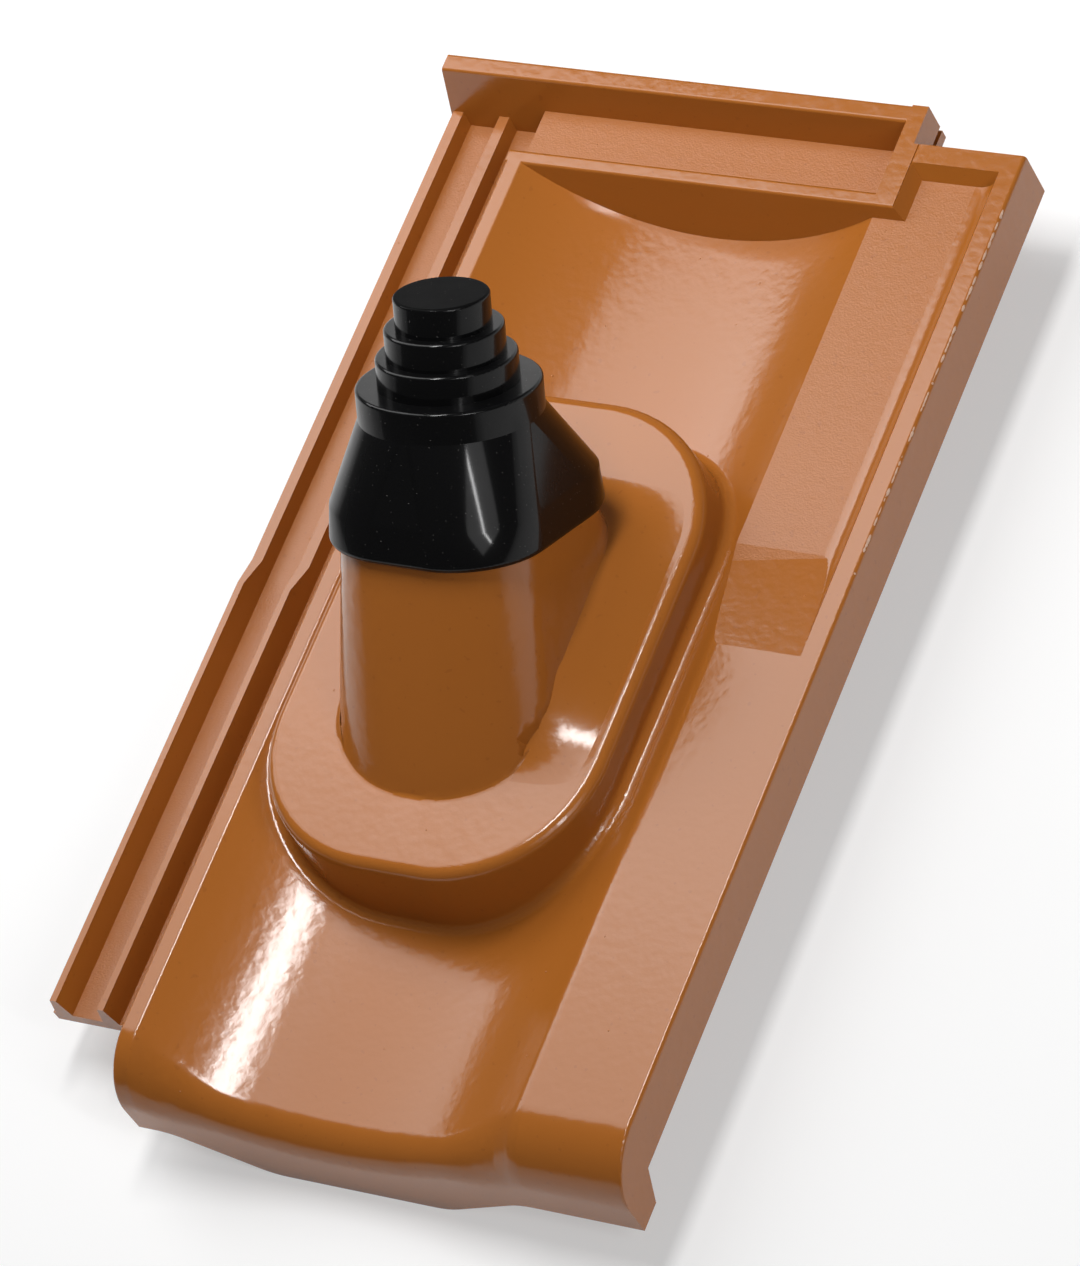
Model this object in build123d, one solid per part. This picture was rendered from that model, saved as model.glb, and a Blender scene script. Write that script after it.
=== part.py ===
from build123d import *
import os
from math import cos, radians, sin, sqrt, tan

# Whole tile: X across, Y from the nose to the head, Z up from the plane it rests on
tile_width = 268.0
tile_length = 461.0
top_z = 57.0
wall = 4.5

# Bands across the tile, from the side lock to the cover panel
lock_width = 50.0
crest_width = 7.0
trough_depth = 24.5
panel_width = 46.0
side_drop = 23.3
edge_round = 1.5
crest_round = 3.0
shoulder_round = 10.0

# Rounded nose and the lip that hangs from it
nose_round = 23.5
lip_drop = 38.0
lip_flat = 76.0
lip_slope_run = 38.0
lip_round = 25.0
lip_back = 11.5
lobe_run = 6.5
lobe_share = 0.8

# Side lock: a plate with two ribs, taller in the eave half
lock_setback = 34.5
plate_drop = 28.0
plate_thick = 5.0
rib_pitch = 21.4
rib_top = 4.6
rib_draft = 13.0
rib_low_drop = 21.5
rib_high_drop = 17.5
rib_step_y = -2.5
rib_step_run = 13.0

# Head: cross rib, head channel, head wall and the bridge that closes the channel
cross_rib_setback = 46.5
cross_rib_top = 5.5
cross_rib_slope = 0.36
cross_rib_foot = 8.0
head_wall_top = 7.7
head_draft = 0.26
channel_drop = 16.0
channel_overhang = 3.0
bridge_top = 7.0
bridge_inset = 2.0
bridge_slope = 0.5
bridge_drop = 12.0
head_end_lean = 4.0
panel_setback = 17.2

# Shallow recess in the head half of the cover panel
recess_drop = 6.0
recess_rim = 8.3
recess_wall_run = 4.2
ramp_start = 218.5
ramp_run = 46.0

# Plinth in the trough
plinth_rise = 12.0
plinth_margin = 11.75
plinth_length = 208.5
plinth_corner_share = 0.41
plinth_draft = 4.0
plinth_round = 5.0
plinth_foot_round = 4.0
plinth_y = -27.5

# Spout: oval tube that leans towards the head
spout_x = 1.5
spout_y = -47.1
spout_lean = 36.5
spout_flare = 2.0
spout_foot_front = 54.5
spout_foot_back = 83.0
spout_corner_share = 0.456
spout_foot_round = 3.0
fairing_margin = 6.75
fairing_rise = 10.0
fairing_run = 34.0
fairing_front = 40.0
fairing_front_run = 8.5
fairing_back = 68.0
fairing_corner_share = 0.444

# Rubber boot, measured along the spout axis from the top face
boot_rim = 67.0
boot_half_width = 44.0
boot_front = 46.0
boot_back = 55.0
boot_corner = 33.0
boot_wall = 4.0
boot_shoulder = 8.0
boot_gap = 0.25
boot_band = 15.0
boot_taper = 0.09
boot_rim_round = 2.5
neck_start = 112.0
neck_radius = 34.4
neck_roundness = 0.97
neck_top = 124.1
tier_radii = [26.5, 22.4, 18.0]
tier_tops = [135.1, 146.2, 158.3]
tier_wall = 2.6
tier_round = 1.2

# Hanging nibs under the cross rib
nib_width = 36.0
nib_depth = 11.0
nib_taper = 2.0
nib_spacing = 90.0

# Places worked out from the sizes above
x_left = -tile_width / 2
x_right = tile_width / 2
x_crest = x_left + lock_width
x_trough = x_crest + crest_width
x_shoulder = x_right - panel_width
x_bridge = x_shoulder - bridge_inset
y_nose = -tile_length / 2
y_head = tile_length / 2
y_fold = y_nose + nose_round
y_lock = y_nose + lock_setback
y_rib = y_head - cross_rib_setback
y_panel = y_head - panel_setback
z_plate = top_z - plate_drop
z_lock = z_plate - plate_thick
z_side = top_z - side_drop
z_lip = top_z - lip_drop
z_channel = top_z - channel_drop
z_plinth = top_z + plinth_rise
z_deep = -tile_width / 4
z_cut = 2 * z_deep
over = 1.0
lean = radians(spout_lean)
spout_axis = Axis((0, 0, 0), (0, sin(lean), cos(lean)))
trough_half = (x_shoulder - x_trough) / 2
trough_mid = (x_shoulder + x_trough) / 2
trough_radius = (trough_half ** 2 + trough_depth ** 2) / (2 * trough_depth)
plinth_width = x_shoulder - x_trough - 2 * plinth_margin
plinth_corner = plinth_width * plinth_corner_share
fairing_width = plinth_width - 2 * fairing_margin
fairing_corner = (fairing_front + fairing_back) * fairing_corner_share
recess_half = sqrt(trough_radius ** 2 - (trough_radius - trough_depth + recess_drop) ** 2)
x_open = trough_mid + recess_half - over


def near(shape, x, y):
    # Corner of a flat profile nearest to a point
    return shape.vertices().sort_by_distance(Vector(x, y))[0]


def outline(points, round_radius=0.0):
    face = make_face(Polyline(*points, close=True))
    if round_radius:
        face = fillet(face.vertices().group_by(Axis.Y)[-1], round_radius)
    return face


def across(face, x_from, x_to):
    # Side profile carried across the tile
    return extrude(Plane.YZ.offset(x_from) * face, amount=x_to - x_from)


def along(face, y_from, y_to):
    # Cross profile carried along the tile
    return extrude(Plane.XZ.offset(-y_from) * face, amount=y_to - y_from, dir=(0, 1, 0))


def slab(x_from, x_to, y_from, y_to, z_from, z_to):
    face = outline([(x_from, z_from), (x_to, z_from), (x_to, z_to), (x_from, z_to)])
    return along(face, y_from, y_to)


def section(inset):
    # Crest, round trough and panel seen from the eave, closed far below the tile
    left = x_crest + inset
    right = x_right - inset
    top = top_z - inset
    radius = trough_radius + inset
    half = sqrt(radius ** 2 - (radius - trough_depth) ** 2)
    start = (trough_mid - half, top)
    end = (trough_mid + half, top)
    bottom = (trough_mid, top - trough_depth)
    rim = Polyline(start, (left, top), (left, z_deep), (right, z_deep), (right, top), end)
    face = make_face([rim, ThreePointArc(end, bottom, start)])
    if inset:
        return face
    face = fillet(near(face, *start), crest_round)
    face = fillet(near(face, *end), shoulder_round)
    face = fillet(near(face, left, top), edge_round)
    return fillet(near(face, right, top), edge_round)


def skin(inset, y_end):
    # The section runs along the tile and then follows the round of the nose downwards
    face = Plane.XZ.offset(-y_fold) * section(inset)
    radius = nose_round - inset
    z_turn = top_z - nose_round
    middle = radius / sqrt(2)
    path = ThreePointArc(
        (0, y_fold, z_turn + radius), (0, y_fold - middle, z_turn + middle), (0, y_fold - radius, z_turn),
    )
    run = extrude(face, amount=y_end - y_fold, dir=(0, 1, 0))
    return run + sweep(face, path=path, normal=(0, -1, 0))


def lip_cut():
    # Everything below the wavy lower edge of the nose lip
    left = trough_mid - lip_flat / 2
    right = trough_mid + lip_flat / 2
    bends = [(left - lip_slope_run, z_lip), (left, 0), (right, 0), (right + lip_slope_run, z_lip)]
    right_end = [(x_right + over, z_lip), (x_right + over, z_cut)]
    left_end = [(x_left, z_cut), (x_left, z_lip)]
    face = outline(bends + right_end + left_end)
    for x, z in bends:
        face = fillet(near(face, x, z), lip_round)
    return along(face, y_nose - over, y_fold + over)


def side_cut(z_edge, x_from, x_to):
    # Everything below a side wall, with the lobe of the lip left standing at the nose
    y_back = y_nose + lip_back
    face = outline([
        (y_back + lobe_run, z_edge), (y_back, z_lip), (y_back, z_cut),
        (y_head + over, z_cut), (y_head + over, z_edge),
    ])
    return across(face, x_from, x_to)


def lock():
    # Plate with two tapered ribs that step up towards the eave
    plate = slab(x_left, x_crest + wall, y_lock, y_head, z_lock, z_plate)
    z_low = top_z - rib_low_drop
    z_high = top_z - rib_high_drop
    step = outline([
        (y_lock, z_lock), (y_head, z_lock), (y_head, z_low), (rib_step_y + rib_step_run / 2, z_low),
        (rib_step_y - rib_step_run / 2, z_high), (y_lock, z_high),
    ])
    stepped = across(step, x_left, x_crest)
    lean_in = tan(radians(rib_draft))
    half_top = rib_top / 2 - (z_high - z_low) * lean_in
    half_foot = half_top + (z_high - z_lock) * lean_in
    ribs = []
    for index in range(2):
        middle = x_left + half_foot + index * rib_pitch
        face = outline([
            (middle - half_foot, z_lock), (middle + half_foot, z_lock),
            (middle + half_top, z_high), (middle - half_top, z_high),
        ])
        ribs.append(along(face, y_lock, y_head) & stepped)
    return plate + ribs


def head():
    # Cross rib, channel floor, head wall and bridge
    z_under = z_channel - wall
    z_rib = top_z - trough_depth - wall
    y_back = y_rib + cross_rib_top
    y_foot = y_rib - cross_rib_slope * (top_z - z_rib)
    rib = outline([
        (y_rib, top_z), (y_back, top_z), (y_back + head_draft * channel_drop, z_channel),
        (y_back + head_draft * channel_drop, z_under), (y_foot + cross_rib_foot, z_rib), (y_foot, z_rib),
    ], edge_round)
    cross_rib = across(rib, x_crest, x_shoulder)
    y_wall = y_head - head_wall_top
    floor = slab(x_crest - channel_overhang, x_bridge, y_back, y_head, z_under, z_channel)
    depth = top_z - z_lock
    face = outline([
        (y_wall, top_z), (y_head, top_z), (y_head, z_lock), (y_wall - head_draft * depth, z_lock),
    ], edge_round)
    x_end = x_left + head_end_lean
    shape = outline([
        (x_end, top_z), (x_bridge, top_z), (x_bridge, top_z - bridge_drop),
        (x_bridge - bridge_drop, z_under), (x_crest, z_under), (x_crest, z_lock), (x_left, z_lock),
    ])
    head_wall = across(face, x_left, x_bridge) & along(shape, y_rib, y_head)
    inner = x_bridge - bridge_top
    bridge_face = outline([
        (inner, top_z), (x_shoulder, top_z), (x_shoulder, top_z - bridge_drop),
        (x_shoulder - bridge_drop, z_under), (inner - bridge_slope * channel_drop, z_channel),
    ])
    bridge = along(bridge_face, y_rib + cross_rib_top / 2, y_head)
    spare = slab(x_bridge, x_shoulder + over, y_panel, y_head + over, z_deep, top_z + over)
    return cross_rib + floor + head_wall + (bridge - spare)


def nibs():
    # Two hooks below the cross rib that hang on the roof batten
    y_foot = y_rib - cross_rib_slope * (trough_depth + wall)
    z_rib = top_z - trough_depth - wall
    face = outline([
        (y_foot, z_rib + wall), (y_foot, 0),
        (y_foot + nib_depth - nib_taper, 0), (y_foot + nib_depth, z_rib + wall),
    ])
    middles = [trough_mid - nib_spacing / 2, trough_mid + nib_spacing / 2]
    return [across(face, x - nib_width / 2, x + nib_width / 2) for x in middles]


def recess_floor():
    # Thickness kept below the recess
    z_floor = top_z - recess_drop - wall
    y_ramp = y_nose + ramp_start
    face = outline([
        (y_ramp, top_z - wall), (y_ramp + ramp_run, z_floor), (y_panel, z_floor),
        (y_panel, top_z), (y_ramp, top_z),
    ])
    return across(face, x_open - wall, x_right)


def recess():
    # Shallow pan that opens into the trough and runs out on a ramp towards the eave
    z_floor = top_z - recess_drop
    y_ramp = y_nose + ramp_start
    y_end = y_panel - recess_rim
    pan = outline([
        (y_ramp, top_z), (y_ramp + ramp_run, z_floor), (y_end - recess_wall_run, z_floor), (y_end, top_z),
        (y_end, top_z + over), (y_ramp, top_z + over),
    ])
    x_end = x_right - recess_rim
    sides = outline([
        (x_open, z_floor), (x_end - recess_wall_run, z_floor), (x_end, top_z), (x_end, top_z + over),
        (x_open, top_z + over),
    ])
    keep_slope = cross_rib_slope * recess_drop
    keep = outline([
        (y_rib - keep_slope, z_floor), (y_rib, top_z), (y_rib, top_z + over),
        (y_head, top_z + over), (y_head, z_floor),
    ])
    keep_side = outline([
        (x_open - over, z_floor - over), (x_shoulder + recess_wall_run, z_floor - over),
        (x_shoulder + recess_wall_run, z_floor), (x_shoulder, top_z), (x_shoulder, top_z + 2 * over),
        (x_open - over, top_z + 2 * over),
    ])
    corner = across(keep, x_open - over, x_right) & along(keep_side, y_rib - keep_slope - over, y_head)
    return (across(pan, x_open, x_right) & along(sides, y_ramp, y_end)) - corner


def plinth(inset):
    # Rounded block with sloping sides, deeper than the trough
    height = plinth_rise + trough_depth + wall / 2 + inset
    outside = RectangleRounded(plinth_width - 2 * inset, plinth_length - 2 * inset, plinth_corner - inset)
    top = Pos(spout_x, plinth_y, z_plinth - inset) * outside
    block = extrude(top, amount=height, dir=(0, 0, -1), taper=-plinth_draft)
    if inset:
        return block
    return fillet(block.edges().group_by(Axis.Z)[-1], plinth_round)


def axis_plane(distance):
    # Plane square to the spout axis; its own Y runs down towards the head
    origin = Vector(spout_x, spout_y, top_z) + Vector(0, sin(lean), cos(lean)) * distance
    return Plane(origin=origin, x_dir=(1, 0, 0), z_dir=(0, sin(lean), cos(lean)))


def oval(distance, inset):
    grow = (boot_rim - distance) * boot_taper - inset
    middle = (boot_back - boot_front) / 2
    width = 2 * (boot_half_width + grow)
    length = boot_front + boot_back + 2 * grow
    return axis_plane(distance) * Pos(0, middle) * RectangleRounded(width, length, boot_corner + grow)


def neck(distance, inset):
    side = 2 * (neck_radius - inset)
    return axis_plane(distance) * RectangleRounded(side, side, (neck_radius - inset) * neck_roundness)


def foot_oval(z, front, back, width, corner):
    return Pos(spout_x, spout_y + (back - front) / 2, z) * RectangleRounded(width, front + back, corner)


def spout(inset):
    # From an oval foot on the plinth to a tilted oval, then straight along the axis
    margin = boot_wall + boot_gap + inset
    joint = boot_rim - boot_gap
    end = boot_rim + boot_band + (over if inset else 0)
    width = 2 * (boot_half_width + spout_flare - inset)
    front = spout_foot_front - inset
    back = spout_foot_back - inset
    foot = foot_oval(z_plinth - inset - over, front, back, width, width * spout_corner_share)
    lower = loft([foot, oval(joint, margin)], ruled=True)
    upper = loft([oval(joint, margin), oval(end, margin)], ruled=True)
    return lower + upper


def fairing():
    # Low skirt that eases the sides of the spout into the plinth
    low = foot_oval(z_plinth - over, fairing_front, fairing_back, fairing_width, fairing_corner)
    shrink = 2 * fairing_run
    high = foot_oval(
        z_plinth + fairing_rise, fairing_front - fairing_front_run, fairing_back - fairing_run,
        fairing_width - shrink, fairing_corner - fairing_run,
    )
    return loft([low, high], ruled=True)


def raised():
    # Weather face with the plinth and the spout grown out of it, each foot hollow-rounded
    body = skin(0, y_panel)
    for block, foot_round in [(plinth(0), plinth_foot_round), (spout(0), spout_foot_round)]:
        standing = body + block
        body = fillet(new_edges(body, block, combined=standing), foot_round)
    return body + fairing()


def build_tile():
    z_rib = top_z - trough_depth - wall
    body = raised()
    body -= slab(x_left, x_bridge, y_rib + over, y_head + over, z_cut, top_z + over)
    body -= slab(x_left, x_right, y_rib - cross_rib_setback, y_head, z_cut, z_rib)
    body -= lip_cut()
    body -= side_cut(z_side, trough_mid + trough_half * lobe_share, x_right + over)
    body -= side_cut(z_lock, x_crest - over, trough_mid - trough_half * lobe_share)
    body += lock()
    body += head()
    rib_keep = slab(x_left, x_bridge, y_rib - cross_rib_slope * trough_depth, y_head, z_cut, top_z)
    hollow = skin(wall, y_panel - wall) - rib_keep - recess_floor()
    body -= hollow
    body -= plinth(wall)
    body -= spout(wall)
    body -= recess()
    body += nibs()
    return body


def build_boot():
    top = boot_rim + boot_band
    band = loft([oval(boot_rim, 0), oval(top, 0)], ruled=True)
    band = fillet(band.edges().group_by(spout_axis)[0], boot_rim_round)
    skirt = loft([oval(top, 0), neck(neck_start, 0)], ruled=True)
    collar = extrude(neck(neck_start, 0), amount=neck_top - neck_start)
    outer = band + skirt + fillet(collar.edges().group_by(spout_axis)[-1], tier_round)
    start = neck_top - tier_round
    for radius, end in zip(tier_radii, tier_tops):
        tier = extrude(axis_plane(start) * Circle(radius), amount=end - start)
        outer += fillet(tier.edges().sort_by(spout_axis)[-1], tier_round)
        start = end - tier_round
    inner = loft([oval(boot_rim - over, boot_wall), oval(top, boot_wall)], ruled=True)
    inner += loft([oval(top, boot_shoulder), neck(neck_start, boot_wall)], ruled=True)
    inner += extrude(neck(neck_start, boot_wall), amount=neck_top - tier_wall - neck_start)
    start = neck_top - tier_wall
    for radius, end in zip(tier_radii, tier_tops):
        inner += extrude(axis_plane(start) * Circle(radius - tier_wall), amount=end - tier_wall - start)
        start = end - tier_wall
    return outer - inner


def main():
    os.makedirs("parts", exist_ok=True)
    for name, piece in [("tile", build_tile()), ("boot", build_boot())]:
        export_step(piece, f"parts/{name}.step")
        print(name, "volume", round(piece.volume), "solids", len(piece.solids()))


main()
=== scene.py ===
# %% [markdown]
# # Antenna roof tile
# A roof tile with a spout for an aerial mast. The tile is one glossy brown moulding, and a stepped
# black rubber boot closes its spout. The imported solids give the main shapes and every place. This
# lesson adds a few soft forms, then the finishes, the light and a camera.

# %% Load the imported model
import math

import bmesh
import bpy
from mathutils import Matrix, Vector


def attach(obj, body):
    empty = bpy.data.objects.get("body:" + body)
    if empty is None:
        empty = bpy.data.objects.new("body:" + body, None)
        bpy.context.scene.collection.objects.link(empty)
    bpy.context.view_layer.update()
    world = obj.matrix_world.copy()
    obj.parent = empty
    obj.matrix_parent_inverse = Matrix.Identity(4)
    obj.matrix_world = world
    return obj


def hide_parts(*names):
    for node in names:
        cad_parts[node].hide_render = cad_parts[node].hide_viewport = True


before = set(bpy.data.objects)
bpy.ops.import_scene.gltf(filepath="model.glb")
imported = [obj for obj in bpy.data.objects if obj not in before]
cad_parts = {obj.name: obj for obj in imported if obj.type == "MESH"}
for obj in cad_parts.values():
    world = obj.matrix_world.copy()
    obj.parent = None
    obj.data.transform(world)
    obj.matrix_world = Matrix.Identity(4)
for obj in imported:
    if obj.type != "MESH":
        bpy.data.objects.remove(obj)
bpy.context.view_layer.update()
scene = bpy.context.scene
print("nodes", sorted(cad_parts))

# %% [markdown]
# ## Shader maths as Python
# A finish is a small network of nodes. Wiring it by hand takes a dozen lines for one formula, so one
# small class wraps a socket: adding or multiplying two of them makes the Math node. `node` makes any
# other node from its type, its settings and the values of its sockets.

# %% The socket class
class Wire:
    """One output socket of a node tree, ready for arithmetic."""

    def __init__(self, tree, socket=None):
        self.tree = tree
        self.socket = socket

    def node(self, kind, settings=None, sockets=None, out=0):
        made = self.tree.nodes.new(kind)
        for name, value in (settings or {}).items():
            setattr(made, name, value)
        for key, value in (sockets or {}).items():
            if isinstance(value, Wire):
                value.feed(made.inputs[key])
            else:
                made.inputs[key].default_value = value
        return Wire(self.tree, made.outputs[out])

    def feed(self, target):
        self.tree.links.new(self.socket, target)

    def math(self, operation, first, second):
        return self.node("ShaderNodeMath", {"operation": operation}, {0: first, 1: second})

    def __add__(self, other):
        return self.math("ADD", self, other)

    __radd__ = __add__

    def __rsub__(self, other):
        return self.math("SUBTRACT", other, self)

    def __mul__(self, other):
        return self.math("MULTIPLY", self, other)

    def __gt__(self, other):
        return self.math("GREATER_THAN", self, other)

    def noise(self, scale, detail):
        """A noise that fills space, read at this place."""
        return self.node("ShaderNodeTexNoise", None, {"Vector": self, "Scale": scale, "Detail": detail})

    def mix(self, first, second):
        """The first colour where this is 0, the second where it is 1."""
        return self.node("ShaderNodeMix", {"data_type": "RGBA"}, {0: self, 6: first, 7: second}, out=2)


def finish(name):
    """A new material, its shader node and a wire to start its formulas from."""
    material = bpy.data.materials.new(name)
    material.use_nodes = True
    shader = material.node_tree.nodes["Principled BSDF"]
    return material, shader, Wire(material.node_tree)


print("Wire: + - * > node, feed, noise and mix")

# %% [markdown]
# ## The brown finish
# The real tile is moulded in a glossy brown with the faint ripple of orange peel. Flat colour and a
# mirror would look like lacquered paper, so the finish has three scales: a slow drift of tone, the
# ripple a few millimetres wide as bump, and a fine grain. The floors of the channels are rougher, as
# the mould is blasted there, so an attribute on the mesh says where they are.

# %% Brown moulding material
BROWN = (0.362, 0.118, 0.018, 1.0)
BROWN_DEEP = (0.335, 0.104, 0.015, 1.0)
SPECK_BROWN = (0.26, 0.078, 0.014, 1.0)
TONE_SCALE, TONE_DETAIL = 7.0, 3.0
PEEL_SCALE, PEEL_DETAIL = 230.0, 1.5
GRAIN_SCALE, GRAIN_DETAIL = 1100.0, 2.0
SPECK_SCALE, SPECK_LEVEL, SPECK_SHARE = 420.0, 0.8, 0.4
PEEL_HEIGHT, GRAIN_HEIGHT, CHANNEL_GRAIN = 0.35, 0.05, 0.4
RIPPLE_STRENGTH, RIPPLE_DEPTH = 0.45, 0.0006
GLOSS_ROUGHNESS, GLOSS_DRIFT, CHANNEL_ROUGHNESS = 0.14, 0.04, 0.2

tile_brown, shader, start = finish("tile_brown")
place = start.node("ShaderNodeTexCoord", out="Object")
tone = place.noise(TONE_SCALE, TONE_DETAIL)
peel = place.noise(PEEL_SCALE, PEEL_DETAIL)
grain = place.noise(GRAIN_SCALE, GRAIN_DETAIL)
speck = place.noise(SPECK_SCALE, 0.0)
rough_floor = start.node("ShaderNodeAttribute", {"attribute_name": "rough_floor"}, out="Fac")
drift = tone.mix(BROWN_DEEP, BROWN)
colour = ((speck > SPECK_LEVEL) * SPECK_SHARE).mix(drift, SPECK_BROWN)
ripple = peel * PEEL_HEIGHT + grain * (GRAIN_HEIGHT + rough_floor * CHANNEL_GRAIN)
bump = start.node("ShaderNodeBump", None, {
    "Strength": RIPPLE_STRENGTH, "Distance": RIPPLE_DEPTH, "Height": ripple})
gloss = GLOSS_ROUGHNESS + tone * GLOSS_DRIFT + rough_floor * CHANNEL_ROUGHNESS
colour.feed(shader.inputs["Base Color"])
gloss.feed(shader.inputs["Roughness"])
bump.feed(shader.inputs["Normal"])
print("tile_brown", len(tile_brown.node_tree.nodes), "nodes")

# %% [markdown]
# ## The black rubber
# The boot is smooth black rubber with the shine of a fresh moulding. Its top face is matt, and a
# little dust has settled. Black shows only what it mirrors, so a low mirror of its own and a thin
# uneven coat carry the look. The height along the spout's axis tells where the top face is.

# %% Rubber material
RUBBER = (0.003, 0.003, 0.0032, 1.0)
RUBBER_MATT = (0.004, 0.004, 0.0041, 1.0)
DUST = (0.22, 0.21, 0.2, 1.0)
SPOUT_LEAN = math.radians(36.5)
SPOUT_AXIS = (0.0, math.sin(SPOUT_LEAN), math.cos(SPOUT_LEAN))
SPOUT_BASE = (0.0015, -0.0471, 0.057)
TOP_FACE = 0.1578
SMUDGE_SCALE, SMUDGE_DETAIL = 45.0, 4.0
WAVE_SCALE, WAVE_DETAIL, WAVE_STRENGTH, WAVE_DEPTH = 160.0, 1.0, 0.1, 0.0004
DUST_SCALE, DUST_LEVEL, DUST_SHARE = 1500.0, 0.84, 0.3
MATT_ON_TOP, MATT_SMUDGE = 0.8, 0.1
RUBBER_ROUGHNESS, SMUDGE_ROUGHNESS, TOP_ROUGHNESS = 0.3, 0.1, 0.2
RUBBER_MIRROR = 0.025
COAT, COAT_SMUDGE, COAT_ROUGHNESS = 0.55, 0.2, 0.1

boot_black, shader, start = finish("boot_black")
place = start.node("ShaderNodeTexCoord", out="Object")
offset = start.node("ShaderNodeVectorMath", {"operation": "SUBTRACT"}, {0: place, 1: SPOUT_BASE})
height = start.node(
    "ShaderNodeVectorMath", {"operation": "DOT_PRODUCT"}, {0: offset, 1: SPOUT_AXIS}, out="Value")
smudge = place.noise(SMUDGE_SCALE, SMUDGE_DETAIL)
wave = place.noise(WAVE_SCALE, WAVE_DETAIL)
dust = place.noise(DUST_SCALE, 0.0)
top_face = height > TOP_FACE
shade = (top_face * MATT_ON_TOP + smudge * MATT_SMUDGE).mix(RUBBER, RUBBER_MATT)
dusted = ((dust > DUST_LEVEL) * DUST_SHARE).mix(shade, DUST)
bump = start.node("ShaderNodeBump", None, {
    "Strength": WAVE_STRENGTH, "Distance": WAVE_DEPTH, "Height": wave})
roughness = RUBBER_ROUGHNESS + smudge * SMUDGE_ROUGHNESS + top_face * TOP_ROUGHNESS
coat = (1.0 - top_face) * (COAT - smudge * COAT_SMUDGE)
shader.inputs["Specular IOR Level"].default_value = RUBBER_MIRROR
shader.inputs["Coat Roughness"].default_value = COAT_ROUGHNESS
dusted.feed(shader.inputs["Base Color"])
roughness.feed(shader.inputs["Roughness"])
coat.feed(shader.inputs["Coat Weight"])
bump.feed(shader.inputs["Normal"])
print("boot_black", len(boot_black.node_tree.nodes), "nodes")

# %% [markdown]
# ## From solids to smooth pieces
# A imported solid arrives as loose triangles. A copy is merged, so that neighbouring faces share their
# corners. Each corner then takes the mean normal of the faces around it that turn only a little,
# weighted by their area: the flats stay flat to the eye, the rounds run smoothly into them, and the
# real edges stay crisp. The ramp of the recess turns as little as a round does, yet its ends are
# real creases, so its faces blend only with each other.

# %% Merged copies of the solids
MERGE = 4e-6
ROUND_TURN = math.cos(math.radians(20))
RECESS_FLOOR, PANEL_TOP, RAMP_RUN = 0.051, 0.057, 0.046
RAMP_NORMAL = Vector((0.0, PANEL_TOP - RECESS_FLOOR, RAMP_RUN)).normalized()
RAMP_TURN = math.cos(math.radians(1))


def merged_copy(node, name):
    """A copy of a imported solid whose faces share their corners."""
    mesh = bpy.data.meshes.new(name)
    work = bmesh.new()
    work.from_mesh(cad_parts[node].data)
    bmesh.ops.remove_doubles(work, verts=work.verts, dist=MERGE)
    work.to_mesh(mesh)
    work.free()
    piece = bpy.data.objects.new(name, mesh)
    scene.collection.objects.link(piece)
    return piece


def soft_corners(mesh):
    """Blend the normal of each corner over the faces around it that turn less than a round does."""
    faces = [(face.normal.copy(), face.area, tuple(face.vertices)) for face in mesh.polygons]
    around = [[] for _ in mesh.vertices]
    for normal, area, corners in faces:
        for corner in corners:
            around[corner].append((normal, area))
    blended = []
    for normal, _, corners in faces:
        on_ramp = normal.dot(RAMP_NORMAL) > RAMP_TURN
        for corner in corners:
            total = Vector()
            for other, area in around[corner]:
                same_kind = on_ramp == (other.dot(RAMP_NORMAL) > RAMP_TURN)
                if same_kind and other.dot(normal) > ROUND_TURN:
                    total += other * area
            blended.append(total.normalized())
    mesh.shade_smooth()
    mesh.normals_split_custom_set(blended)


def settle(piece, node, material):
    """Smooth a piece, give it its finish and let it stand for its solid."""
    soft_corners(piece.data)
    piece.data.materials.clear()
    piece.data.materials.append(material)
    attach(piece, "root")
    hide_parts(node)
    print(piece.name, len(piece.data.polygons), "faces")


tile = merged_copy("tile", "tile_moulding")
print("tile corners", len(tile.data.vertices))

# %% [markdown]
# ## The level top of the plinth
# The solid has a low skirt all round the foot of the spout. On the real moulding the lock side is
# flat there and the panel side is a broad slope. The skirt is levelled by lowering its corners to the
# top of the plinth, which keeps the mesh whole; the forms of the foot are laid over it further down.

# %% Levelled skirt
SPOUT_X, PLINTH_TOP = 0.0015, 0.069
SKIRT_NEAR, SKIRT_FAR = 0.040, 0.0662
SKIRT_FRONT, SKIRT_BACK = -0.0875, 0.0215
SKIRT_TOP = 0.0762

lowered = 0
for corner in tile.data.vertices:
    across = SKIRT_NEAR < abs(corner.co.x - SPOUT_X) < SKIRT_FAR
    along = SKIRT_FRONT < corner.co.y < SKIRT_BACK
    if across and along and PLINTH_TOP < corner.co.z < SKIRT_TOP:
        corner.co.z = PLINTH_TOP
        lowered += 1
print("skirt corners lowered", lowered)

# %% [markdown]
# ## The nose in the trough
# The nose of the solid turns down with one radius all along. The real one turns tighter in the
# trough, where the bright line of the trough breaks off in a fold. The corners of the round slide to
# the smaller radius there, and the change fades out towards both sides, so that no step appears.

# %% Tighter nose
NOSE_FRONT, NOSE_ROUND, TROUGH_NOSE = -0.2305, 0.0235, 0.013
TROUGH_MID, TROUGH_BOTTOM, TROUGH_RADIUS = 0.0055, 0.0325, 0.15116
NOSE_BLEND = (0.045, 0.08)
SLACK = 0.0004


def ease(value, low, high):
    """0 below low, 1 above high and a smooth rise between."""
    part = min(max((value - low) / (high - low), 0.0), 1.0)
    return part * part * (3 - 2 * part)


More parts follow.
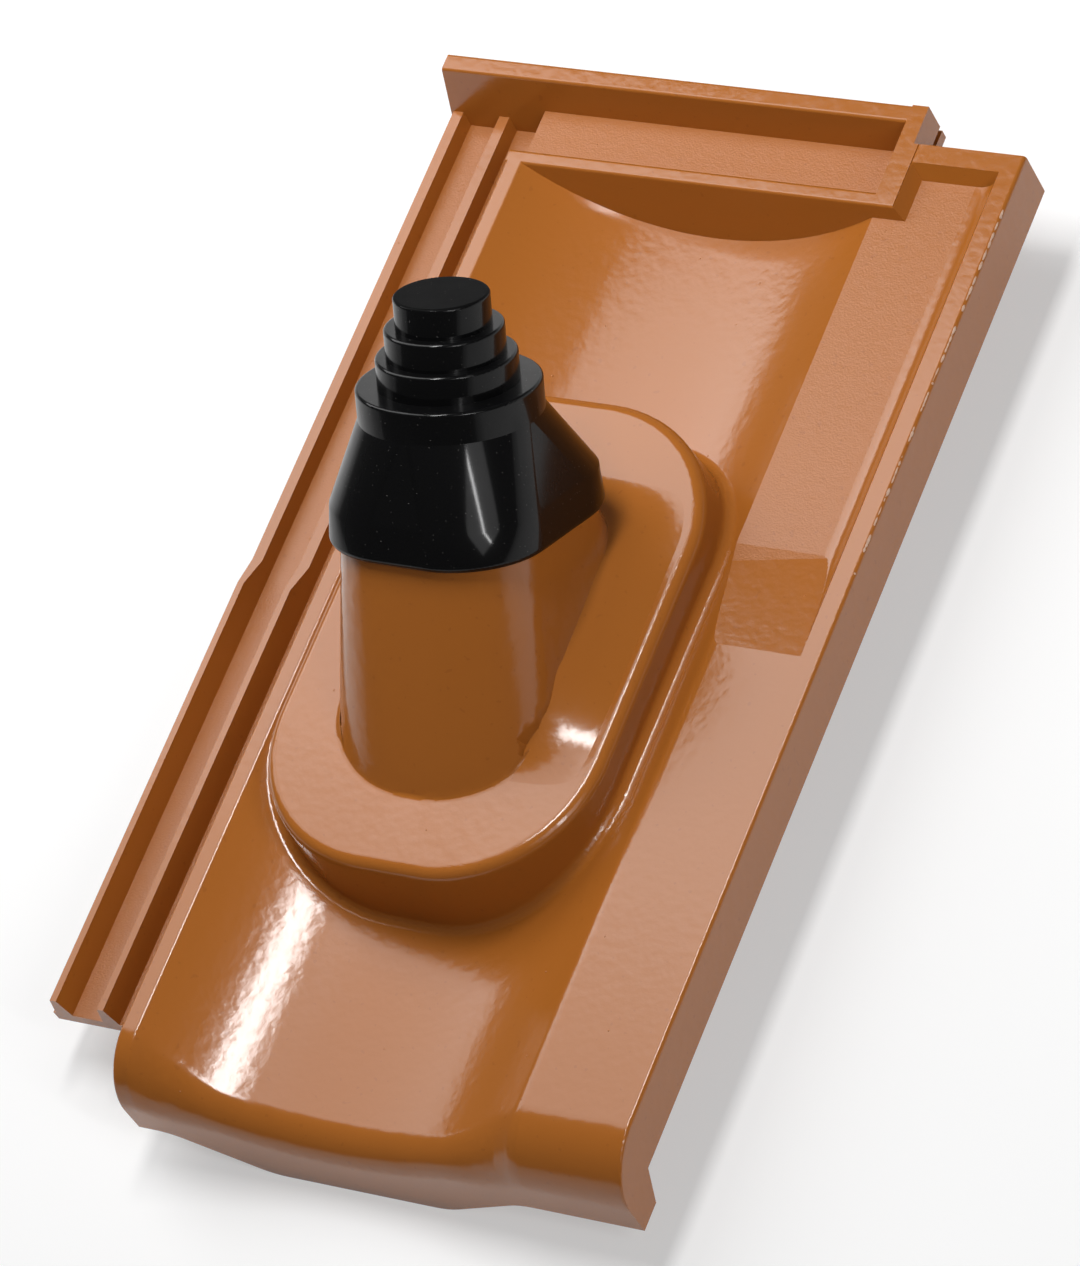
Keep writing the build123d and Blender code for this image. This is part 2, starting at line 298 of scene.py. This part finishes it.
bent = 0
for corner in tile.data.vertices:
    x, y, z = corner.co
    off = abs(x - TROUGH_MID)
    sharper = (NOSE_ROUND - TROUGH_NOSE) * (1 - ease(off, *NOSE_BLEND))
    sag = math.sqrt(TROUGH_RADIUS ** 2 - min(off, TROUGH_RADIUS) ** 2)
    surface = TROUGH_BOTTOM + TROUGH_RADIUS - sag
    in_round = y < NOSE_FRONT + NOSE_ROUND + SLACK and z > surface - NOSE_ROUND - SLACK
    if sharper > 0 and in_round:
        forward = 1 - min(max((y - NOSE_FRONT) / NOSE_ROUND, 0.0), 1.0)
        corner.co.y = NOSE_FRONT + (NOSE_ROUND - sharper) * (1 - forward)
        corner.co.z = z + sharper * (1 - math.sqrt(1 - forward ** 2))
        bent += 1
print("nose corners slid", bent)

# %% [markdown]
# ## Tile and boot
# The floors of the lock, of the head channel and of the recess are the rougher ones. They are found
# by their height and by facing straight up, and the attribute marks them for the brown finish. Then
# both pieces are smoothed, dressed and set in place of their solids.

# %% Tile and boot
LOCK_FLOOR, HEAD_FLOOR = 0.029, 0.041
FACES_UP = 0.98

grain_mark = tile.data.attributes.new("rough_floor", "FLOAT", "FACE")
for face in tile.data.polygons:
    level = min(abs(face.center.z - floor) for floor in (LOCK_FLOOR, HEAD_FLOOR, RECESS_FLOOR))
    grain_mark.data[face.index].value = float(face.normal.z > FACES_UP and level < SLACK)
settle(tile, "tile", tile_brown)
boot = merged_copy("boot", "boot_rubber")
settle(boot, "boot", boot_black)

# %% [markdown]
# ## The slope beside the spout
# On the panel side the moulding eases the spout into the plinth with a broad hollow slope. It could
# be carved in the solid, but as a smooth grid laid over the plinth it needs only one rule: each row
# runs from inside the spout's wall out to the edge of the plinth, and its height swells and fades
# along the tile without a crease.

# %% Slope
SLOPE_GRID = (64, 18)
SLOPE_EDGE = 0.0660
PLINTH_STRAIGHT, PLINTH_CORNER = 0.0187, 0.053
SLOPE_RISE = 0.036
SLOPE_SWELL = (-0.09, -0.04)
SLOPE_FADE = (-0.004, 0.046)
WALL_HALF, WALL_CORNER = 0.0445, 0.040
WALL_FRONT, WALL_BACK = -0.1016, 0.0359
SLOPE_TUCK, SHEET_SINK = 0.003, 0.0001


def edge_x(y):
    """Where the slope ends: a straight line that turns in with the end of the plinth."""
    past = min(max(y - PLINTH_STRAIGHT, 0.0), PLINTH_CORNER)
    return SLOPE_EDGE - PLINTH_CORNER + math.sqrt(PLINTH_CORNER ** 2 - past ** 2)


def wall_x(y):
    """Outside of the spout's foot on the panel side."""
    into_corner = max(WALL_FRONT + WALL_CORNER - y, y - WALL_BACK + WALL_CORNER, 0.0)
    drop = WALL_CORNER - math.sqrt(max(WALL_CORNER ** 2 - min(into_corner, WALL_CORNER) ** 2, 0.0))
    return SPOUT_X + WALL_HALF - drop


def sheet(name, grid, point):
    """A smooth grid of the brown moulding; point(row share, step share) gives each corner."""
    rows, steps = grid
    points = [point(row / rows, step / steps) for row in range(rows + 1) for step in range(steps + 1)]
    quads = []
    for row in range(rows):
        for step in range(steps):
            first = row * (steps + 1) + step
            quads.append((first, first + 1, first + steps + 2, first + steps + 1))
    mesh = bpy.data.meshes.new(name)
    mesh.from_pydata(points, [], quads)
    mesh.shade_smooth()
    mesh.materials.append(tile_brown)
    piece = bpy.data.objects.new(name, mesh)
    scene.collection.objects.link(piece)
    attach(piece, "root")
    print(name, len(quads), "faces")


def slope_point(row, step):
    y = SLOPE_SWELL[0] + (SLOPE_FADE[1] - SLOPE_SWELL[0]) * row
    swell = SLOPE_RISE * ease(y, *SLOPE_SWELL) * (1 - ease(y, *SLOPE_FADE))
    inside = wall_x(y) - SLOPE_TUCK
    outside = edge_x(y)
    x = inside + (outside - inside) * step
    share = (outside - x) / (outside - SPOUT_X)
    return x, y, PLINTH_TOP - SHEET_SINK + swell * share


sheet("spout_slope", SLOPE_GRID, slope_point)

# %% [markdown]
# ## The foot of the spout
# Where the spout's wall meets the flat plinth, the moulding has a small hollow round. A quarter of a
# circle is carried along the foot on both sides. It follows the wall as that leans back with the
# spout, and it shrinks to nothing at both ends.

# %% Foot rounds
FOOT_GRID = (48, 8)
FOOT_ROUND, FOOT_LEAN = 0.003, 0.9
FOOT_OVERLAP, FOOT_FADE = (-0.003, 0.006), 0.1


def foot_point(side, row, step):
    run = SKIRT_BACK - SKIRT_FRONT + FOOT_OVERLAP[1] - FOOT_OVERLAP[0]
    y = SKIRT_FRONT + FOOT_OVERLAP[0] + run * row
    turn = math.pi / 2 * step
    radius = FOOT_ROUND * ease(row, 0.0, FOOT_FADE) * ease(1 - row, 0.0, FOOT_FADE)
    height = radius * (1 - math.sin(turn))
    reach = wall_x(y - FOOT_LEAN * height) - SPOUT_X + radius * (1 - math.cos(turn))
    return SPOUT_X + side * reach, y, PLINTH_TOP - SHEET_SINK + height


for name, side in (("spout_foot_left", -1), ("spout_foot_right", 1)):
    sheet(name, FOOT_GRID, lambda row, step: foot_point(side, row, step))

# %% [markdown]
# ## The hollow of the recess
# The floor of the recess doesn't meet its long wall in a corner: it sweeps up in a hollow, which
# takes a soft shade. The hollow is an arc that leaves the floor level and ends on the slant of the
# wall. Where the ramp is higher than the arc, the sheet dips just under the ramp, so the two meet in
# a curve.

# %% Hollow
HOLLOW_GRID = (120, 16)
HOLLOW_RADIUS = 0.012
WALL_FOOT, WALL_RUN = 0.1215, 0.0042
WALL_SLANT = math.atan2(PANEL_TOP - RECESS_FLOOR, WALL_RUN)
HOLLOW_FROM, HOLLOW_TO = -0.0118, 0.2008


def hollow_point(row, step):
    y = HOLLOW_FROM + (HOLLOW_TO - HOLLOW_FROM) * row
    turn = WALL_SLANT * step
    x = WALL_FOOT - HOLLOW_RADIUS * math.tan(WALL_SLANT / 2) + HOLLOW_RADIUS * math.sin(turn)
    arc = RECESS_FLOOR + HOLLOW_RADIUS * (1 - math.cos(turn))
    ramp_left = max(1 - (y - HOLLOW_FROM) / RAMP_RUN, 0.0)
    ramp = RECESS_FLOOR + (PANEL_TOP - RECESS_FLOOR) * ramp_left
    return x, y, max(arc, ramp - SHEET_SINK)


sheet("recess_hollow", HOLLOW_GRID, hollow_point)

# %% [markdown]
# ## Geometry trees
# The rubbed edge and the grains in the gloss repeat by a rule, so geometry trees make them. Both
# end the same way: a small pebble on every point, made real and given its finish. What a tree makes
# is kept as a plain mesh that rides with the tile.

# %% Geometry trees
PEBBLE_CUTS = 2


def new_tree(name, inputs):
    """An empty geometry tree with named inputs, a start wire and its input sockets by name."""
    tree = bpy.data.node_groups.new(name, "GeometryNodeTree")
    tree.interface.new_socket("Geometry", in_out="INPUT", socket_type="NodeSocketGeometry")
    for label, kind in inputs.items():
        tree.interface.new_socket(label, in_out="INPUT", socket_type=kind)
    tree.interface.new_socket("Geometry", in_out="OUTPUT", socket_type="NodeSocketGeometry")
    entry = tree.nodes.new("NodeGroupInput")
    given = {socket.name: Wire(tree, socket) for socket in entry.outputs if socket.name}
    return tree, Wire(tree), given


def random_vector(start, least, most, seed):
    """A vector drawn anew for every point."""
    return start.node("FunctionNodeRandomValue", {"data_type": "FLOAT_VECTOR"}, {
        0: least, 1: most, "Seed": seed})


def close_tree(tree, start, points, turn, scale, material):
    """Put a small pebble on every point, make it real geometry and give it its finish."""
    pebble = start.node("GeometryNodeMeshIcoSphere", None, {"Radius": 1.0, "Subdivisions": PEBBLE_CUTS})
    placed = start.node("GeometryNodeInstanceOnPoints", None, {
        "Points": points, "Instance": pebble, "Rotation": turn, "Scale": scale})
    solid = start.node("GeometryNodeRealizeInstances", None, {"Geometry": placed})
    dressed = start.node("GeometryNodeSetMaterial", None, {"Geometry": solid, "Material": material})
    leave = tree.nodes.new("NodeGroupOutput")
    dressed.feed(leave.inputs[0])


def grown(name, host, tree, values):
    """Run a tree on a host mesh, keep what it makes as a plain mesh and let it ride with the tile."""
    piece = bpy.data.objects.new(name, host)
    scene.collection.objects.link(piece)
    run = piece.modifiers.new(name, "NODES")
    run.node_group = tree
    for item in tree.interface.items_tree:
        if item.name in values:
            run[item.identifier] = values[item.name]
    view = bpy.context.evaluated_depsgraph_get()
    made = bpy.data.meshes.new_from_object(piece.evaluated_get(view))
    piece.modifiers.remove(run)
    piece.data = made
    made.shade_smooth()
    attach(piece, "root")
    print(name, len(made.polygons), "faces")


# %% [markdown]
# ## Flakes along the rubbed edge
# The long edge of the cover panel is rubbed by handling: small pale flakes follow it towards the
# head. The tree runs points along a line on that edge, shifts each a little and puts a flat flake
# on it, turned to lie across the edge. Their finish is the brown worn pale in patches.

# %% Flakes
FLAKE_PALE = (0.66, 0.50, 0.40, 1.0)
PATCH_SCALE, PATCH_DETAIL = 900.0, 2.0
PALE_LEAST, PALE_SWING = 0.3, 0.7
FLAKE_ROUGHNESS = 0.45
EDGE_X, EDGE_Z = 0.13362, 0.0566
EDGE_FROM, EDGE_TO = 0.19, 0.03
FLAKE_SHIFT = ((-0.0003, -0.006, 0.0), (0.0, 0.006, 0.0002))
FLAKE_TURN = (0.0, math.radians(45), 0.0)

edge_pale, shader, start = finish("edge_pale")
place = start.node("ShaderNodeTexCoord", out="Object")
patch = place.noise(PATCH_SCALE, PATCH_DETAIL)
worn = (patch * PALE_SWING + PALE_LEAST).mix(BROWN, FLAKE_PALE)
worn.feed(shader.inputs["Base Color"])
shader.inputs["Roughness"].default_value = FLAKE_ROUGHNESS

tree, start, given = new_tree("edge_flakes", {
    "Count": "NodeSocketInt", "Seed": "NodeSocketInt",
    "Smallest": "NodeSocketVector", "Largest": "NodeSocketVector"})
path = start.node("GeometryNodeMeshToCurve", None, {"Mesh": given["Geometry"]})
row = start.node("GeometryNodeCurveToPoints", {"mode": "COUNT"}, {"Curve": path, "Count": given["Count"]})
shift = random_vector(start, *FLAKE_SHIFT, given["Seed"])
loose = start.node("GeometryNodeSetPosition", None, {"Geometry": row, "Offset": shift})
size = random_vector(start, given["Smallest"], given["Largest"], given["Seed"])
close_tree(tree, start, loose, FLAKE_TURN, size, edge_pale)
line = bpy.data.meshes.new("rubbed_edge")
line.from_pydata([(EDGE_X, EDGE_FROM, EDGE_Z), (EDGE_X, EDGE_TO, EDGE_Z)], [(0, 1)], [])
grown("edge_flakes", line, tree, {
    "Count": 70, "Seed": 5,
    "Smallest": (0.0001, 0.0002, 0.00004), "Largest": (0.0006, 0.0021, 0.00008)})

# %% [markdown]
# ## Nibs under the gloss
# The finish has a few nibs, grains caught under the gloss, which show as tiny glints. The tree throws
# points on the faces of the tile that look up, and each point gets a low pebble in the same brown.

# %% Nibs
LOOKS_UP = 0.7

tree, start, given = new_tree("finish_nibs", {
    "Density": "NodeSocketFloat", "Seed": "NodeSocketInt",
    "Smallest": "NodeSocketVector", "Largest": "NodeSocketVector"})
facing = start.node("GeometryNodeInputNormal")
upward = start.node("ShaderNodeSeparateXYZ", None, {"Vector": facing}, out="Z") > LOOKS_UP
spots = start.node("GeometryNodeDistributePointsOnFaces", None, {
    "Mesh": given["Geometry"], "Selection": upward, "Density": given["Density"], "Seed": given["Seed"]})
size = random_vector(start, given["Smallest"], given["Largest"], given["Seed"])
close_tree(tree, start, spots, (0.0, 0.0, 0.0), size, tile_brown)
grown("finish_nibs", tile.data.copy(), tree, {
    "Density": 320.0, "Seed": 11,
    "Smallest": (0.0002, 0.0002, 0.0001), "Largest": (0.00055, 0.0005, 0.0002)})

# %% [markdown]
# ## The floor
# The tile lies on a plain white floor that takes its shadow. White paper lit only by the lamps would
# look grey, so part of its white is a glow of its own, for the camera and for what mirrors it. The
# glow lights nothing else, so the shadow and the shade under the tile stay.

# %% Floor
FLOOR_SIZE = 14.0
FLOOR_GLOW = 0.4
PAPER = (0.9, 0.9, 0.9, 1.0)
PAPER_ROUGHNESS, PAPER_MIRROR = 0.7, 0.1
GLOW_RAYS = ("Is Camera Ray", "Is Glossy Ray", "Is Transmission Ray")

half = FLOOR_SIZE / 2
floor_corners = [(-half, -half, 0), (half, -half, 0), (half, half, 0), (-half, half, 0)]
floor_mesh = bpy.data.meshes.new("floor")
floor_mesh.from_pydata(floor_corners, [], [(0, 1, 2, 3)])
floor = bpy.data.objects.new("floor", floor_mesh)
scene.collection.objects.link(floor)
floor_white, shader, start = finish("floor_white")
shader.inputs["Base Color"].default_value = PAPER
shader.inputs["Roughness"].default_value = PAPER_ROUGHNESS
shader.inputs["Specular IOR Level"].default_value = PAPER_MIRROR
rays = start.node("ShaderNodeLightPath").socket.node.outputs
seen, mirrored, passed = (Wire(start.tree, rays[kind]) for kind in GLOW_RAYS)
glow = start.node("ShaderNodeEmission", None, {"Color": (1.0, 1.0, 1.0, 1.0), "Strength": 1.0})
paper = start.node("ShaderNodeMixShader", None, {
    0: (seen + mirrored + passed) * FLOOR_GLOW, 1: Wire(start.tree, shader.outputs[0]), 2: glow})
paper.feed(start.tree.nodes["Material Output"].inputs["Surface"])
floor_mesh.materials.append(floor_white)
print("floor", FLOOR_SIZE, "m wide")

# %% [markdown]
# ## The light
# A large softbox hangs on the side of the lock and the head, with a weaker part nearer the nose: the
# flat faces mirror it and turn pale. A narrow strip above draws the bright line in the trough, and a
# slim lamp on the right draws the streak on the rubber. A wide weak lamp behind that one fills the
# faces that look to the right.

# %% Lamps and world
LAMP_WATTS = 4
WORLD_LEVEL = 0.07


def lamp(name, place, aim, size, level):
    """A rectangular lamp that faces aim; level is how bright its face looks."""
    light = bpy.data.lights.new(name, "AREA")
    light.shape = "RECTANGLE"
    light.size, light.size_y = size
    light.energy = level * LAMP_WATTS * size[0] * size[1]
    piece = bpy.data.objects.new(name, light)
    piece.location = place
    piece.rotation_euler = (Vector(aim) - Vector(place)).to_track_quat("-Z", "Y").to_euler()
    scene.collection.objects.link(piece)
    print(name, round(light.energy, 2), "W")


lamp("softbox", place=(-0.6, 0.51, 0.88), aim=(0.122, 0.51, 0.0), size=(0.46, 1.15), level=3.3)
lamp("softbox_low", place=(-0.6, 0.14, 0.88), aim=(0.122, 0.14, 0.0), size=(0.28, 1.15), level=2.1)
lamp("strip", place=(0.03, 0.2, 1.25), aim=(0.03, 0.2, 0.0), size=(0.16, 0.6), level=24.0)
lamp("side_strip", place=(1.55, -0.58, 1.26), aim=(0.0, 0.0, 0.06), size=(0.07, 0.9), level=24.0)
lamp("right_fill", place=(1.6, -0.6, 1.3), aim=(0.0, 0.0, 0.06), size=(1.2, 1.0), level=1.2)
world = bpy.data.worlds.new("studio")
world.use_nodes = True
backdrop = world.node_tree.nodes["Background"]
backdrop.inputs["Color"].default_value = (1.0, 1.0, 1.0, 1.0)
backdrop.inputs["Strength"].default_value = WORLD_LEVEL
scene.world = world
scene.view_settings.view_transform = "Standard"

# %% [markdown]
# ## Camera
# The picture was taken with a long lens from the right of the nose, looking down, with the camera
# rolled so that the tile stands across the frame. Its place, direction and upward side are given
# as vectors, and the matrix is built from them.

# %% Camera
CAMERA_PLACE = Vector((1.31111, -1.05288, 2.08311))
CAMERA_LOOK = Vector((-0.49437, 0.39502, -0.77431)).normalized()
CAMERA_UP = Vector((-0.13607, 0.84463, 0.51777))
LENS_PIXELS = 7000.0
IMAGE_HEIGHT = 1266.0
SENSOR = 36.0

camera_data = bpy.data.cameras.new("camera")
camera_data.sensor_width = SENSOR
camera_data.lens = SENSOR * LENS_PIXELS / IMAGE_HEIGHT
camera = bpy.data.objects.new("camera", camera_data)
right = CAMERA_LOOK.cross(CAMERA_UP).normalized()
up = right.cross(CAMERA_LOOK)
turned = Matrix((right, up, -CAMERA_LOOK)).transposed().to_4x4()
camera.matrix_world = Matrix.Translation(CAMERA_PLACE) @ turned
scene.collection.objects.link(camera)
scene.camera = camera
print("lens", round(camera_data.lens, 1), "mm")
